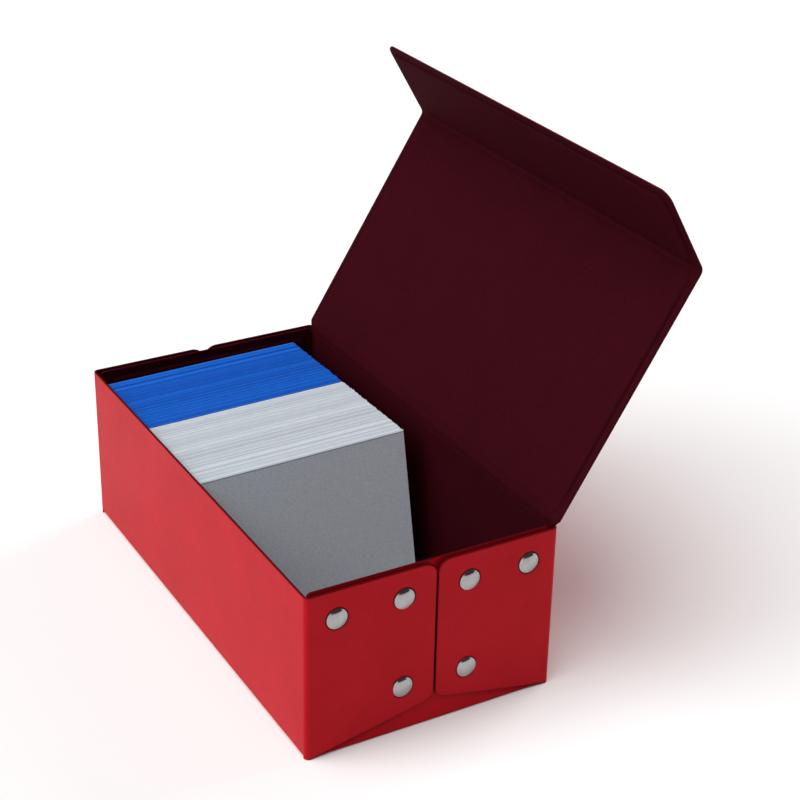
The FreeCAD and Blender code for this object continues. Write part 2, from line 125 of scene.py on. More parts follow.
FRAMES = {
    "bottom": facing(X, Y, Z, Vector()),
    "front_wall": facing(-X, Z, Y, -back_face * Y),
    "back_wall": facing(X, Z, -Y, back_face * Y),
    "right_end_wall": facing(-Y, Z, -X, end_wall_face * X),
    "left_end_wall": facing(Y, Z, X, -end_wall_face * X),
    "right_front_flap": facing(-Y, Z, -X, right_face * X),
    "right_back_flap": facing(-Y, Z, -X, right_face * X),
    "left_front_flap": facing(Y, Z, X, -right_face * X),
    "left_back_flap": facing(Y, Z, X, -right_face * X),
    "lid": about(lid_centre, lid_turn, facing(X, -Y, -Z, Vector((0, back_face, lid_top)))),
    "lip": about(
        lid_centre,
        lid_turn,
        about(lip_centre, lip_turn, facing(X, -Z, Y, Vector((0, lip_edge, lid_top)))),
    ),
}
BODY_OF = {
    node: body for body, nodes in frame["record"]["behaviour"]["bodies"].items() for node in nodes
}

# ---------------------------------------------------------------- node graph helpers


def new_material(name):
    """A material with its node tree and its Principled shader."""
    made = bpy.data.materials.new(name)
    made.use_nodes = True
    return made, made.node_tree, made.node_tree.nodes["Principled BSDF"]


def add(tree, kind, *links, **settings):
    """A node of that kind; links are (input name or index, source socket) pairs."""
    made = tree.nodes.new(kind)
    for name, setting in settings.items():
        if hasattr(made, name):
            setattr(made, name, setting)
        else:
            made.inputs[name.replace("_", " ")].default_value = setting
    for name, source in links:
        tree.links.new(source, made.inputs[name])
    return made


def ramp(tree, factor, *stops):
    """A colour ramp; stops are (position, colour)."""
    made = add(tree, "ShaderNodeValToRGB", ("Fac", factor))
    elements = made.color_ramp.elements
    while len(elements) < len(stops):
        elements.new(0.5)
    for element, (position, colour) in zip(elements, stops):
        element.position = position
        element.color = (*colour, 1)
    return made.outputs["Color"]


def spread(tree, factor, low, high):
    """A factor from 0 to 1 spread between two numbers."""
    made = add(tree, "ShaderNodeMapRange", ("Value", factor), To_Min=low, To_Max=high)
    return made.outputs["Result"]


def mix(tree, factor, first, second, kind="MIX"):
    """A mix of two colours, each a socket or a plain colour."""
    made = tree.nodes.new("ShaderNodeMix")
    made.data_type = "RGBA"
    made.blend_type = kind
    for socket, source in ((0, factor), (6, first), (7, second)):
        if isinstance(source, bpy.types.NodeSocket):
            tree.links.new(source, made.inputs[socket])
        elif socket:
            made.inputs[socket].default_value = (*source, 1)
        else:
            made.inputs[socket].default_value = source
    return made.outputs[2]


def rest_place(tree):
    """Where a point of a built mesh lies at rest, in metres, whatever the pose."""
    return add(tree, "ShaderNodeAttribute", attribute_name="rest").outputs["Vector"]


def noise(tree, place, scale, detail=2.0, roughness=0.5):
    """Noise from 0 to 1 over a place; the scale counts its waves in a metre."""
    made = add(
        tree, "ShaderNodeTexNoise", ("Vector", place), Scale=scale, Detail=detail, Roughness=roughness
    )
    return made.outputs["Fac"]


def bump(tree, height, distance, strength=1.0, under=None):
    """A bump of that height in metres, laid over another one if it is given."""
    links = [("Height", height)]
    if under:
        links.append(("Normal", under))
    made = add(tree, "ShaderNodeBump", *links, Strength=strength, Distance=distance)
    return made.outputs["Normal"]


# ---------------------------------------------------------------- materials


def leather_material(name, low, high, edge_colour):
    """Smooth satin synthetic leather: faint pebble grain, slow mottling, dark cut edges."""
    made, tree, shader = new_material(name)
    place = rest_place(tree)
    rim = add(tree, "ShaderNodeAttribute", attribute_name="rim").outputs["Fac"]
    slow = noise(tree, place, 38.0, 4.0, 0.6)
    fine = noise(tree, place, 900.0, 3.0, 0.6)
    colour = ramp(tree, slow, (0.3, low), (0.72, high))
    colour = mix(tree, spread(tree, fine, 0.0, 0.35), colour, low)
    colour = mix(tree, rim, colour, edge_colour)
    tree.links.new(colour, shader.inputs["Base Color"])
    grain = add(
        tree, "ShaderNodeTexVoronoi", ("Vector", place), feature="SMOOTH_F1", Scale=1500.0
    ).outputs["Distance"]
    first = bump(tree, grain, 0.00004, 0.35)
    second = bump(tree, fine, 0.00005, 0.25, first)
    tree.links.new(bump(tree, slow, 0.0006, 0.25, second), shader.inputs["Normal"])
    rough = mix(tree, rim, ramp(tree, fine, (0.3, (0.36,) * 3), (0.7, (0.47,) * 3)), (0.7,) * 3)
    tree.links.new(rough, shader.inputs["Roughness"])
    shader.inputs["Specular IOR Level"].default_value = 0.07
    return made


def lining_material():
    """Dark burgundy lining cloth: a fine crossed weave under a short nap."""
    made, tree, shader = new_material("burgundy_lining")
    place = rest_place(tree)
    slow = noise(tree, place, 60.0, 3.0)
    fuzz = noise(tree, place, 1400.0, 3.0, 0.7)
    colour = ramp(tree, slow, (0.3, (0.039, 0.0030, 0.0067)), (0.7, (0.043, 0.0034, 0.0075)))
    specks = ramp(tree, fuzz, (0.36, (0.0,) * 3), (0.64, (0.56,) * 3))
    colour = mix(tree, specks, colour, (0.024, 0.0018, 0.0038))
    # Painted shade: the lining is darkened along the foot of the emboss step, where the step's shadow falls.
    crease = add(tree, "ShaderNodeAttribute", attribute_name="crease").outputs["Fac"]
    colour = mix(tree, crease, colour, (0.017, 0.0011, 0.0024))
    tree.links.new(colour, shader.inputs["Base Color"])
    threads = []
    for direction in ("X", "Z"):
        wave = add(
            tree,
            "ShaderNodeTexWave",
            ("Vector", place),
            bands_direction=direction,
            Scale=620.0,
            Distortion=1.5,
            Detail=1.0,
        )
        threads.append(wave.outputs["Fac"])
    weave = mix(tree, 1.0, threads[0], threads[1], "MULTIPLY")
    first = bump(tree, weave, 0.00006, 0.3)
    tree.links.new(bump(tree, fuzz, 0.00008, 0.4, first), shader.inputs["Normal"])
    tree.links.new(spread(tree, fuzz, 0.62, 0.85), shader.inputs["Roughness"])
    shader.inputs["Specular IOR Level"].default_value = 0.01
    shader.inputs["Sheen Weight"].default_value = 0.012
    shader.inputs["Sheen Roughness"].default_value = 0.5
    shader.inputs["Sheen Tint"].default_value = (0.5, 0.06, 0.1, 1)
    return made


def metal_material(name, colour, low, high):
    """Nickel plate with faint polishing marks; low and high bound its roughness."""
    made, tree, shader = new_material(name)
    place = add(tree, "ShaderNodeTexCoord").outputs["Object"]
    marks = noise(tree, place, 700.0, 4.0, 0.6)
    dark = tuple(0.82 * part for part in colour)
    tree.links.new(ramp(tree, marks, (0.3, dark), (0.7, colour)), shader.inputs["Base Color"])
    tree.links.new(spread(tree, marks, low, high), shader.inputs["Roughness"])
    tree.links.new(bump(tree, marks, 0.00002, 0.2), shader.inputs["Normal"])
    shader.inputs["Metallic"].default_value = 1.0
    return made


def board_material():
    """Raw grey-brown fibreboard with flecks."""
    made, tree, shader = new_material("fibreboard")
    place = add(tree, "ShaderNodeTexCoord").outputs["Object"]
    flecks = noise(tree, place, 1800.0, 5.0, 0.7)
    colour = ramp(tree, flecks, (0.3, (0.16, 0.13, 0.10)), (0.7, (0.33, 0.29, 0.23)))
    tree.links.new(colour, shader.inputs["Base Color"])
    tree.links.new(spread(tree, flecks, 0.8, 0.95), shader.inputs["Roughness"])
    tree.links.new(bump(tree, flecks, 0.0001, 0.5), shader.inputs["Normal"])
    return made


def sleeve_material(name, light, edge, dark, face):
    """Sleeved cards: coloured film at the edges, a pebbled face, each card a little different."""
    made, tree, shader = new_material(name)
    place = rest_place(tree)
    tone = add(tree, "ShaderNodeAttribute", attribute_name="tone").outputs["Fac"]
    front = add(tree, "ShaderNodeAttribute", attribute_name="front").outputs["Fac"]
    line = add(tree, "ShaderNodeAttribute", attribute_name="line").outputs["Fac"]
    fine = noise(tree, place, 2600.0, 2.0, 0.6)
    stretched = add(tree, "ShaderNodeMapping", ("Vector", place), Scale=(9.0, 1.0, 9.0))
    streak = noise(tree, stretched.outputs["Vector"], 160.0, 3.0)
    colour = ramp(tree, tone, (0.1, light), (0.16, edge), (1.0, dark))
    colour = mix(tree, ramp(tree, streak, (0.42, (0.0,) * 3), (0.68, (0.4,) * 3)), colour, dark)
    pebble = noise(tree, place, 1500.0, 2.0, 0.5)
    grain = ramp(tree, pebble, (0.38, (0.0,) * 3), (0.62, (1.0,) * 3))
    face_colour = mix(tree, grain, face, tuple(0.88 * part for part in face))
    # A darker line a little below the top, shown on the front face only.
    face_colour = mix(tree, line, face_colour, tuple(0.2 * part for part in face))
    colour = mix(tree, front, colour, face_colour)
    tree.links.new(colour, shader.inputs["Base Color"])
    raised = add(tree, "ShaderNodeMath", (0, pebble), (1, front), operation="MULTIPLY")
    first = bump(tree, fine, 0.00004, 0.2)
    tree.links.new(bump(tree, raised.outputs["Value"], 0.0002, 0.8, first), shader.inputs["Normal"])
    tree.links.new(spread(tree, fine, 0.42, 0.6), shader.inputs["Roughness"])
    shader.inputs["Specular IOR Level"].default_value = 0.45
    return made


RED_LOW = (0.43, 0.003, 0.009)
RED_HIGH = (0.52, 0.005, 0.014)
EDGE_RED = (0.09, 0.0015, 0.0025)
leather = leather_material("red_leather", RED_LOW, RED_HIGH, EDGE_RED)
# Dark leather for the rings round the press stud caps: painted shade in place of the shadow gap between cap and
# leather.
seat_shade = leather_material("pressed_leather", EDGE_RED, EDGE_RED, (0.012, 0.0006, 0.001))
lining_cloth = lining_material()
nickel = metal_material("polished_nickel", (0.40, 0.395, 0.39), 0.07, 0.13)
dull_nickel = metal_material("dull_nickel", (0.55, 0.54, 0.52), 0.3, 0.5)
magnet_metal = metal_material("magnet_plate", (0.5, 0.5, 0.51), 0.35, 0.5)
fibreboard = board_material()
blue_film = sleeve_material(
    "blue_sleeves",
    light=(0.014, 0.235, 0.89),
    edge=(0.005, 0.150, 0.73),
    dark=(0.004, 0.10, 0.55),
    face=(0.01, 0.07, 0.36),
)
white_film = sleeve_material(
    "white_sleeves",
    light=(0.87, 0.92, 0.96),
    edge=(0.77, 0.83, 0.885),
    dark=(0.635, 0.675, 0.735),
    face=(0.84, 0.905, 1.0),
)

# ---------------------------------------------------------------- mesh helpers

QUARTER = math.pi / 2
SHARP_ANGLE = math.radians(42)


def new_object(name, data):
    """An object in the scene that holds some data."""
    made = bpy.data.objects.new(name, data)
    bpy.context.scene.collection.objects.link(made)
    return made


def make_piece(name, points, faces, materials, face_slots=None, scalars=None):
    """A smooth-shaded mesh from points in millimetres, with its rest place as an attribute."""
    mesh = bpy.data.meshes.new(name)
    mesh.from_pydata([point * MM for point in points], [], faces)
    for material in materials:
        mesh.materials.append(material)
    if face_slots:
        mesh.polygons.foreach_set("material_index", face_slots)
    mesh.polygons.foreach_set("use_smooth", [True] * len(faces))
    rest = mesh.attributes.new("rest", "FLOAT_VECTOR", "POINT")
    rest.data.foreach_set("vector", [part * MM for point in points for part in point])
    for key, values in (scalars or {}).items():
        mesh.attributes.new(key, "FLOAT", "POINT").data.foreach_set("value", values)
    mesh.update()
    mesh.set_sharp_from_angle(angle=SHARP_ANGLE)
    return new_object(name, mesh)


def smooth_step(value, low, high):
    """0 below low, 1 above high, and an S curve between."""
    share = min(1.0, max(0.0, (value - low) / (high - low)))
    return share * share * (3 - 2 * share)


def grid_faces(rows, columns, first=0, flip=False):
    """Quads of a grid of points stored row by row."""
    faces = []
    for row in range(rows - 1):
        for column in range(columns - 1):
            start = first + row * columns + column
            quad = (start, start + 1, start + columns + 1, start + columns)
            faces.append(quad[::-1] if flip else quad)
    return faces


def border_loop(rows, columns):
    """Indices round a grid, anticlockwise."""
    loop = list(range(columns))
    loop += [row * columns + columns - 1 for row in range(1, rows)]
    loop += [(rows - 1) * columns + column for column in range(columns - 2, -1, -1)]
    loop += [row * columns for row in range(rows - 2, 0, -1)]
    return loop


# ---------------------------------------------------------------- panels

# Grid lines: insets from an edge, offsets from a press stud, and the least and usual spacing.
DENSE = (0.0, 0.12, 0.3, 0.55, 0.85, 1.2, 1.7, 2.3, 2.9, 3.3, 3.6, 3.9, 4.2, 4.6, 5.1, 5.8, 6.8, 8.2)
STUD_OFFSETS = (0, 1.2, 2.4, 3.4, 4.0, 4.4, 4.9, 5.5, 6.3, 7.4)
CLOSEST_LINES = 0.1
USUAL_LINES = 4.0

# Edges and relief: the round of a free edge and its share on the lining, the depths at which
# its darker colour fades, the width of the emboss step beside free edges and folds, the puff of
# the leather, and the extra lining over the folds.  SKIN_GAP thins the lining from below, and
# WELL_INSIDE is the distance used where there is no free edge.
ROUND_EDGE = 0.42
LINING_ROUND = 0.8
RIM_START = 0.12
RIM_END = 0.5
FREE_STEP = 1.6
FOLD_STEP = 2.0
PUFF = 0.08
PUFF_START = -1.0
PUFF_END = 8.0
FOLD_PAD = 0.45
PAD_FADE = 1.5
SKIN_GAP = 0.01
WELL_INSIDE = 99.0

# The painted shade line at the foot of the emboss step: its half width, its share of the darker
# colour beside free edges and beside folds, and the distances from a fold over which that changes.
STEP_SHADE_WIDTH = 0.9
FREE_STEP_SHADE = 0.9
FOLD_STEP_SHADE = 0.25
FADE_START = 4.0
FADE_END = 14.0

# Rounded corners bend grid lines this many radii in, and never tighter than this share of one.
CORNER_REACH = 2.2
TIGHTEST = 0.3

# Press stud caps and the leather pressed in round them.
CAP_RADIUS = 4.25
DIMPLE_DEPTH = 0.22
DIMPLE_REACH = 0.7


def grid_lines(low, high, marks):
    """Grid lines from low to high, dense near both edges and near each mark."""
    lines = set()
    for inset in DENSE:
        lines.add(round(low + inset, 4))
        lines.add(round(high - inset, 4))
    start = low + DENSE[-1]
    inner = high - low - 2 * DENSE[-1]
    count = max(1, round(inner / USUAL_LINES))
    for index in range(1, count):
        lines.add(round(start + inner * index / count, 4))
    for mark in marks:
        for offset in STUD_OFFSETS:
            lines.add(round(mark + offset, 4))
            lines.add(round(mark - offset, 4))
    kept = [low]
    for line in sorted(line for line in lines if low < line < high):
        if line - kept[-1] > CLOSEST_LINES and high - line > CLOSEST_LINES:
            kept.append(line)
    return kept + [high]


# The soft foot of an end wall: where the flaps' lower edges start, how far it stands out at the
# floor and at those edges, and the height over which it fades behind the flaps.
FLAP_TOE = 0.15
FOOT_REACH = 50.0
FOOT_EDGE = 0.4
FOOT_OUT = 2.45
FOOT_AT_FLAP = 1.2
FOOT_FADE = 6.0


def foot_bulge(across, height):
    """Outward bulge of an end wall's soft foot: it fills the triangle below the flaps."""
    reach = max(0.0, FOOT_REACH - abs(across))
    edge = FOOT_EDGE + FLAP_SLOPE * reach
    if height <= edge:
        share = height / edge
        return FOOT_OUT + (FOOT_AT_FLAP - FOOT_OUT) * share
    return FOOT_AT_FLAP * (1 - smooth_step(height, edge, edge + FOOT_FADE))


class Panel:
    """Plan of one panel in its own frame: its edges, rounded corners and heights."""

    def __init__(self, name, free=(), radii=None, snaps=(), slope=0.0, puff=PUFF, bulged=False):
        vertices = [
            FRAMES[name].inverted() @ (vertex.co / MM)
            for vertex in frame["nodes"][f"{name}_cover"].data.vertices
        ]
        self.name = name
        self.low_x = min(vertex.x for vertex in vertices)
        self.high_x = max(vertex.x for vertex in vertices)
        self.low_y = min(vertex.y for vertex in vertices)
        self.high_y = max(vertex.y for vertex in vertices)
        self.free = free
        self.radii = radii or {}
        self.snaps = snaps
        self.slope = slope
        self.puff = puff
        self.bulged = bulged
        if slope:
            self.low_y = FLAP_TOE

    def insets(self, x, y):
        """Distance from each edge, by its name."""
        return {
            "left": x - self.low_x,
            "right": self.high_x - x,
            "base": y - self.low_y,
            "top": self.high_y - y,
        }

    def rounded(self, x, y):
        """A grid point moved so that the grid's rings run round the free corners."""
        insets = self.insets(x, y)
        for (side, end), radius in self.radii.items():
            across = insets[side]
            up = insets[end]
            depth = min(across, up)
            bend = max(radius - depth, TIGHTEST * radius)
            along = max(across, up) - depth
            if along >= bend or depth > CORNER_REACH * radius:
                continue
            fade = 1 - smooth_step(depth, radius, CORNER_REACH * radius)
            angle = math.pi / 4 * along / bend
            near = depth + bend * (1 - math.cos(math.pi / 4 - angle))
            far = depth + bend * (1 - math.sin(math.pi / 4 - angle))
            new_across, new_up = (near, far) if across <= up else (far, near)
            across_move = (new_across - across) * fade
            up_move = (new_up - up) * fade
            x += across_move if side == "left" else -across_move
            y += up_move if end == "base" else -up_move
        return x, y

    def lean(self, x, y):
        """Raise the base towards the free end, as the flaps' lower edges rise."""
        if not self.slope:
            return x, y
        reach = max(abs(self.low_x), abs(self.high_x)) - abs(x)
        share = (self.high_y - y) / (self.high_y - self.low_y)
        return x, y + self.slope * reach * share

    def free_inset(self, x, y):
        """Distance from the nearest free edge, with its rounded corners."""
        insets = self.insets(x, y)
        nearest = min((insets[edge] for edge in self.free), default=WELL_INSIDE)
        for (side, end), radius in self.radii.items():
            across = radius - insets[side]
            up = radius - insets[end]
            if across > 0 and up > 0:
                nearest = min(nearest, radius - math.hypot(across, up))
        return nearest

    def raised_inset(self, x, y):
        """How far inside the raised field a point is, with the step's width there."""
        insets = self.insets(x, y)
        depths = {
            edge: inset - (FREE_BORDER if edge in self.free else FOLD_BORDER)
            for edge, inset in insets.items()
        }
        nearest = min(depths, key=depths.get)
        width = FREE_STEP if nearest in self.free else FOLD_STEP
        across = EMBOSS_RADIUS - min(depths["left"], depths["right"])
        up = EMBOSS_RADIUS - min(depths["base"], depths["top"])
        if across > 0 and up > 0:
            return EMBOSS_RADIUS - math.hypot(across, up), width
        return depths[nearest], width

    def crease_share(self, x, y):
        """How much of the painted shade line at the foot of the raised field's step shows at a point."""
        inset, width = self.raised_inset(x, y)
        line = 1 - smooth_step(abs(inset + width / 2), 0.0, STEP_SHADE_WIDTH)
        insets = self.insets(x, y)
        from_fold = min(insets[edge] for edge in insets if edge not in self.free)
        fade = smooth_step(from_fold, FADE_START, FADE_END)
        return line * (FOLD_STEP_SHADE + (FREE_STEP_SHADE - FOLD_STEP_SHADE) * fade)

    def grid(self):
        """Plan points of the panel, row by row, and the numbers of rows and columns."""
        marks_x = [x for x, _ in self.snaps]
        marks_y = [y for _, y in self.snaps]
        columns = grid_lines(self.low_x, self.high_x, marks_x)
        rows = grid_lines(self.low_y, self.high_y, marks_y)
        plan = []
        for y in rows:
            for x in columns:
                plan.append(self.rounded(x, y))
        return plan, len(rows), len(columns)

    def bulge(self, x, y):
        """How far the soft foot of an end wall stands out between the flaps' lower edges."""
        return foot_bulge(x, y) if self.bulged else 0.0

    def dimple(self, x, y):
        """How far the leather is pressed in round the press studs."""
        sunk = 0.0
        for snap_x, snap_y in self.snaps:
            gap = math.hypot(x - snap_x, y - snap_y) - CAP_RADIUS
            sunk += DIMPLE_DEPTH * math.exp(-((max(gap, 0.0) / DIMPLE_REACH) ** 2))
        return sunk


def edge_drop(depth):
    """Height lost near a free edge, a quarter round of radius ROUND_EDGE."""
    if depth >= ROUND_EDGE:
        return 0.0
    rise = 1 - max(depth, 0.0) / ROUND_EDGE
    return ROUND_EDGE * (1 - math.sqrt(max(0.0, 1 - rise * rise)))


def rim_share(depth):
    """How much of the darker edge colour shows at a distance from a free edge."""
    return 1 - smooth_step(depth, RIM_START, RIM_END)


def fold_pad(depth):
    """Extra thickness of the lining over a fold; it fades out along a free border."""
    return FOLD_PAD * smooth_step(depth, FREE_BORDER - PAD_FADE, FREE_BORDER + PAD_FADE)


def layer(panel, kind, near, far, material):
    """A panel's cover or lining: a closed sheet between two height functions of the plan point."""
    plan, rows, columns = panel.grid()
    matrix = FRAMES[panel.name]
    size = rows * columns
    points = []
    rims = []
    step_shades = []
    for heights in (near, far):
        for x, y in plan:
            points.append(matrix @ Vector((*panel.lean(x, y), heights(x, y))))
            rims.append(rim_share(panel.free_inset(x, y)))
            # Painted shade along the foot of the emboss step, carried to the lining's colour.
            step_shades.append(panel.crease_share(x, y))
    faces = grid_faces(rows, columns, 0, True) + grid_faces(rows, columns, size)
    loop = border_loop(rows, columns)
    for index, start in enumerate(loop):
        after = loop[(index + 1) % len(loop)]
        faces.append((start, after, size + after, size + start))
    node = f"{panel.name}_{kind}"
    scalars = {"rim": rims, "crease": step_shades}
    made = make_piece(f"{node}_skin", points, faces, [material], None, scalars)
    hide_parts(node)
    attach(made, BODY_OF[node])


def build_panel(panel):
    """The cover and the lining of one panel; its board is the design's own."""

    def cover_out(x, y):
        inset, _ = panel.raised_inset(x, y)
        puff = panel.puff * smooth_step(inset, PUFF_START, PUFF_END)
        return edge_drop(panel.free_inset(x, y)) - puff + panel.dimple(x, y) - panel.bulge(x, y)

    def cover_in(x, y):
        return COVER

    def lining_top(x, y):
        inset, width = panel.raised_inset(x, y)
        pad = fold_pad(panel.free_inset(x, y))
        raised = (PANEL - BORDER - pad) * smooth_step(inset, -width / 2, width / 2)
        return BORDER + pad + raised - edge_drop(panel.free_inset(x, y)) * LINING_ROUND

    def lining_under(x, y):
        drop = edge_drop(panel.free_inset(x, y)) * LINING_ROUND
        return lining_top(x, y) - LINING + drop + SKIN_GAP

    layer(panel, "cover", cover_out, cover_in, leather)
    layer(panel, "lining", lining_under, lining_top, lining_cloth)


# Press studs: their distances from the middle of an end and from the floor, and how far the
# seam between an end's two flaps lies off the middle.
SNAP_OUTER = 39.6
SNAP_INNER = 13.5
SNAP_HIGH = 57.3
SNAP_LOW = 19.4
FLAP_SEAM = 0.9


def snaps(side):
    """The three press studs on one side of an end's middle."""
    return [
        (side * SNAP_OUTER, SNAP_HIGH),
        (side * SNAP_INNER - FLAP_SEAM, SNAP_HIGH),
        (side * SNAP_INNER - FLAP_SEAM, SNAP_LOW),
    ]


FLAP_SIDES = {
    "right_front_flap": 1,
    "right_back_flap": -1,
    "left_front_flap": -1,
    "left_back_flap": 1,
}
build_panel(Panel("bottom", puff=0.0))
build_panel(Panel("back_wall"))
build_panel(Panel("front_wall", free=("top",)))
build_panel(Panel("lid", free=("left", "right")))
build_panel(
    Panel(
        "lip",
        free=("left", "right", "top"),
        radii={("left", "top"): LIP_CORNER, ("right", "top"): LIP_CORNER},
    )
)
for wall in ("right_end_wall", "left_end_wall"):
    build_panel(
        Panel(
            wall,
            free=("left", "right", "top"),
            radii={("left", "top"): END_WALL_CORNER, ("right", "top"): END_WALL_CORNER},
            bulged=True,
        )
    )
for flap, side in FLAP_SIDES.items():
    edge = "left" if side > 0 else "right"
    build_panel(
        Panel(
            flap,
            free=(edge, "base", "top"),
            radii={(edge, "top"): FLAP_TOP_CORNER, (edge, "base"): FLAP_BASE_CORNER},
            snaps=snaps(side),
            slope=FLAP_SLOPE,
        )
    )

# ---------------------------------------------------------------- folds

FOLD_ENDS = (0.0, 0.06, 0.14, 0.25, 0.42, 0.8, 1.3, 2.0, 2.6, 3.3, 4.0, 4.8, 5.6)
FOLD_TURNS = 16
# At 1 the bend of the soft foot is round; below 1 this power squares it outwards.
FOOT_POWER = 0.36


def fold_stations(half_length):
    """Places along a fold, dense near its two ends."""
    inner = half_length - FOLD_ENDS[-1]
    count = max(2, round(inner))
    places = [-half_length + end for end in FOLD_ENDS]
    places += [inner * (2 * index / count - 1) for index in range(1, count)]
    places += [half_length - end for end in reversed(FOLD_ENDS)]
    return places


def fold(
    name,
    centre,
    start,
    towards,
    middle,
    angle,
    half_length,
    bodies=None,
    cover_outside=True,
    foot=False,
    free_ends=(),
    widening=0.0,
):
    """A bent strip of cover and lining, left in world space with its transform baked if bodies are given.

    The strip's section turns about the centre from the direction start to towards; its
    length runs half_length each way along the bend's axis.  Its free ends, -1 or 1 or
    both along that axis, are rounded off like the free edges of the panels.  Each end
    runs out by the widening on the way from the first panel to the second.
    """
    along = start.cross(towards)
    outer = middle + BORDER / 2
    inner = middle - BORDER / 2
    cover_radius, lining_radius = (outer, inner) if cover_outside else (inner, outer)
    outwards = 1 if cover_outside else -1
    stations = fold_stations(half_length)
    points = []
    rims = []
    columns = FOLD_TURNS + 1
    for is_cover in (True, False):
        for station in stations:
            place = centre + along * station
            end_insets = (half_length - end * station for end in free_ends)
            depth = min(end_insets, default=WELL_INSIDE)
            if is_cover:
                radius = cover_radius - outwards * edge_drop(depth)
            else:
                drop = edge_drop(depth) * LINING_ROUND
                radius = lining_radius + outwards * (drop - fold_pad(depth))
            rims += [rim_share(depth)] * columns
            for turn in range(columns):
                bend = angle * turn / FOLD_TURNS
                down = math.cos(bend)
                out = math.sin(bend)
                reach = radius
                if foot and is_cover:
                    down = abs(down) ** FOOT_POWER if turn < FOLD_TURNS else 0.0
                    out = out**FOOT_POWER
                    reach = radius + foot_bulge(station, radius - radius * down)
                spread_out = along * (station / half_length * widening * turn / FOLD_TURNS)
                bent = start * (down * radius) + towards * (out * reach)
                points.append(place + spread_out + bent)
    rows = len(stations)
    size = rows * columns
    faces = grid_faces(rows, columns, 0, cover_outside)
    faces += grid_faces(rows, columns, size, not cover_outside)
    slots = [0] * (len(faces) // 2) + [1] * (len(faces) // 2)
    loop = border_loop(rows, columns)
    for index, edge in enumerate(loop):
        after = loop[(index + 1) % len(loop)]
        quad = (edge, after, size + after, size + edge)
        faces.append(quad if cover_outside else quad[::-1])
        slots.append(0 if abs(edge - after) == 1 else 1)
    made = make_piece(f"{name}_skin", points, faces, [leather, lining_cloth], slots, {"rim": rims})
    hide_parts(name)
    if bodies is None:
        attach(made, BODY_OF[name])
        return
    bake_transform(made)


FOLD_MIDDLE = OUTER_FOLD_RADIUS - BORDER / 2
LID_FOLD_MIDDLE = LID_FOLD_RADIUS - BORDER / 2
bottom_high = corners_of("bottom_cover")[1]
end_half_width = corners_of("right_end_wall_cover")[1].y
WALL_HALF_LENGTH = 98.0
LIP_HALF_LENGTH = 100.0
BOTH_ENDS = (-1, 1)
for name, outward, reach, half in (
    ("bottom_front_fold", -Y, bottom_high.y, WALL_HALF_LENGTH),
    ("bottom_back_fold", Y, bottom_high.y, WALL_HALF_LENGTH),
    ("bottom_right_fold", X, bottom_high.x, end_half_width),
    ("bottom_left_fold", -X, bottom_high.x, end_half_width),
):
    bodies = ("box", "right_end_wall") if name == "bottom_right_fold" else None
    centre = outward * reach + Z * OUTER_FOLD_RADIUS
    is_end = outward.x != 0
    fold(name, centre, -Z, outward, FOLD_MIDDLE, QUARTER, half, bodies, foot=is_end)

for end, along in (("right", X), ("left", -X)):
    for face, across in (("front", -Y), ("back", Y)):
        name = f"{end}_{face}_corner_fold"
        top = corners_of(name)[1].z
        centre = along * (right_face - OUTER_FOLD_RADIUS) + across * (back_face - OUTER_FOLD_RADIUS)
        centre.z = (FLAP_TOE + top) / 2
        half = (top - FLAP_TOE) / 2
        bodies = ("box", f"{end}_{face}_flap")
        upper_end = 1 if across.cross(along).z > 0 else -1
        fold(name, centre, across, along, FOLD_MIDDLE, QUARTER, half, bodies, free_ends=(upper_end,))

half_gap = math.pi / 4 * LID_FOLD_MIDDLE
axis_inset = LID_FOLD_MIDDLE - half_gap
lean_back = math.radians(-joints["lid_hinge"]["range_deg"][0] - 90)
lip_fold = math.radians(90 + joints["lip_crease"]["range_deg"][0])
hinge_middle = half_gap / math.tan(lean_back / 2) - axis_inset
hinge_centre = Vector((0, back_face + hinge_middle - BORDER / 2, lid_top - LID_FOLD_RADIUS))
fold(
    "lid_hinge_fold",
    hinge_centre,
    -Y,
    Z,
    hinge_middle,
    lean_back,
    WALL_HALF_LENGTH,
    ("box", "lid"),
    cover_outside=False,
    free_ends=BOTH_ENDS,
    widening=LIP_HALF_LENGTH - WALL_HALF_LENGTH,
)
crease_middle = half_gap / math.tan(lip_fold / 2) + axis_inset
crease_closed = Vector((0, lip_edge + LID_FOLD_RADIUS, lid_top - crease_middle - BORDER / 2))
crease_centre = lid_centre + lid_turn @ (crease_closed - lid_centre)
fold(
    "lip_crease_fold",
    crease_centre,
    lid_turn @ Z,
    lid_turn @ -Y,
    crease_middle,
    lip_fold,
    LIP_HALF_LENGTH,
    ("lid", "lip"),
    free_ends=BOTH_ENDS,
)

# ---------------------------------------------------------------- turned metal

TURNED_SIDES = 48


def turned(name, node, places, profile, panel_name, material, bored=False):
    """Turned pieces of one profile of (radius, depth) at places in a panel's frame.

    A bored piece's profile closes on itself round a hole; any other is closed by flat ends.
    """
    matrix = FRAMES[panel_name]
    rings = len(profile)
    points = []
    faces = []
    for across, up in places:
        first = len(points)
        for radius, depth in profile:
            for segment in range(TURNED_SIDES):
                angle = 2 * math.pi * segment / TURNED_SIDES
                spot = Vector(
                    (across + radius * math.cos(angle), up + radius * math.sin(angle), depth)
                )
                points.append(matrix @ spot)
        for ring in range(rings if bored else rings - 1):
            low = first + ring * TURNED_SIDES
            high = first + (ring + 1) % rings * TURNED_SIDES
            for segment in range(TURNED_SIDES):
                after = (segment + 1) % TURNED_SIDES
                faces.append((low + segment, low + after, high + after, high + segment))
        if not bored:
            last = first + (rings - 1) * TURNED_SIDES
            faces.append(tuple(first + segment for segment in reversed(range(TURNED_SIDES))))
            faces.append(tuple(last + segment for segment in range(TURNED_SIDES)))
    made = make_piece(name, points, faces, [material])
    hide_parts(node)
    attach(made, BODY_OF[node])


